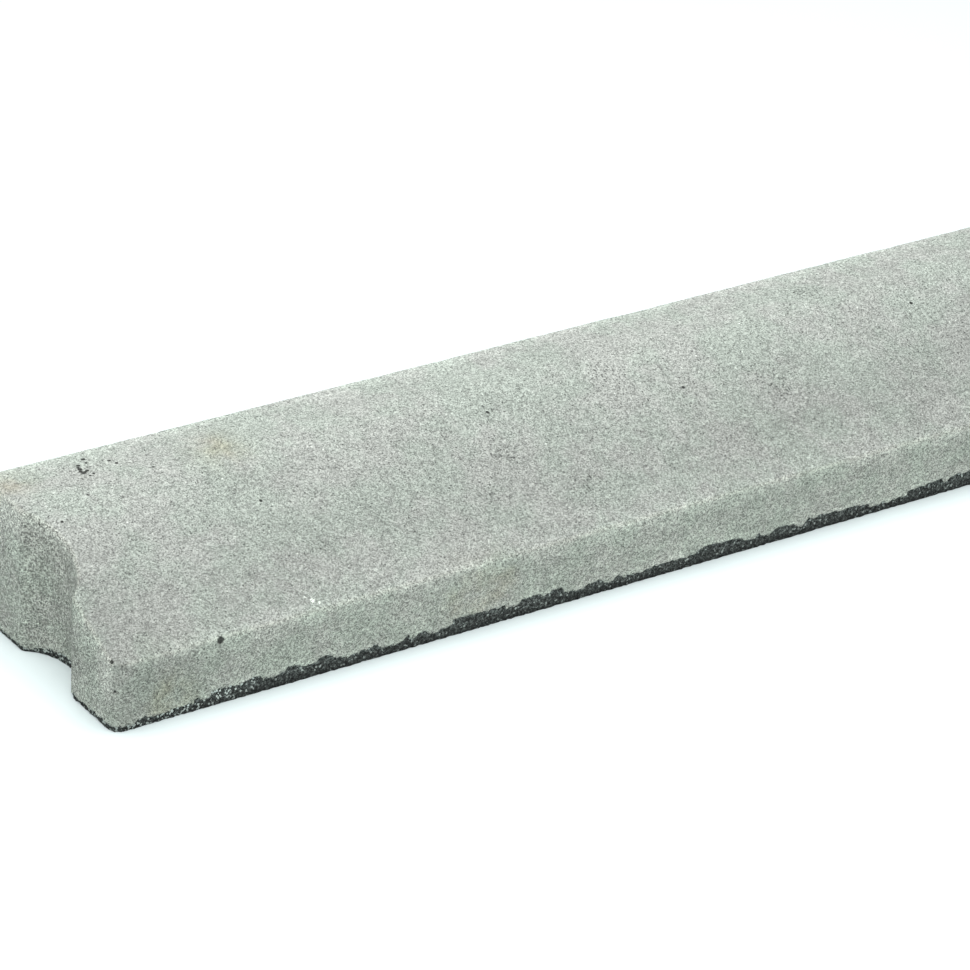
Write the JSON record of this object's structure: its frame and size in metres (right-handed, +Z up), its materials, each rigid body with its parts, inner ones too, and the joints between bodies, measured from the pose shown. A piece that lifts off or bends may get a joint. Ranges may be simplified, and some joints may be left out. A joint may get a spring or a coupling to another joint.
{
  "type": "concrete kerb stone",
  "caption": "Low drive-over kerb stone in cast concrete, with an upright front face, a gentle slope, a flat top and a grooved end that takes the tongue of the next stone.",
  "frame": {"origin": "middle of the base, between the two end faces and between the front and back faces, at floor level", "axes": "+Z up from the base, +X along the stone from the grooved end to the tongue, +Y from the low front face to the high back face"},
  "size_m": [1.016, 0.2, 0.12],
  "materials": {
    "concrete": "fair-faced sandy grey cast concrete"
  },
  "bodies": {
    "root": {"kerb_stone": "concrete"}
  },
  "joints": []
}
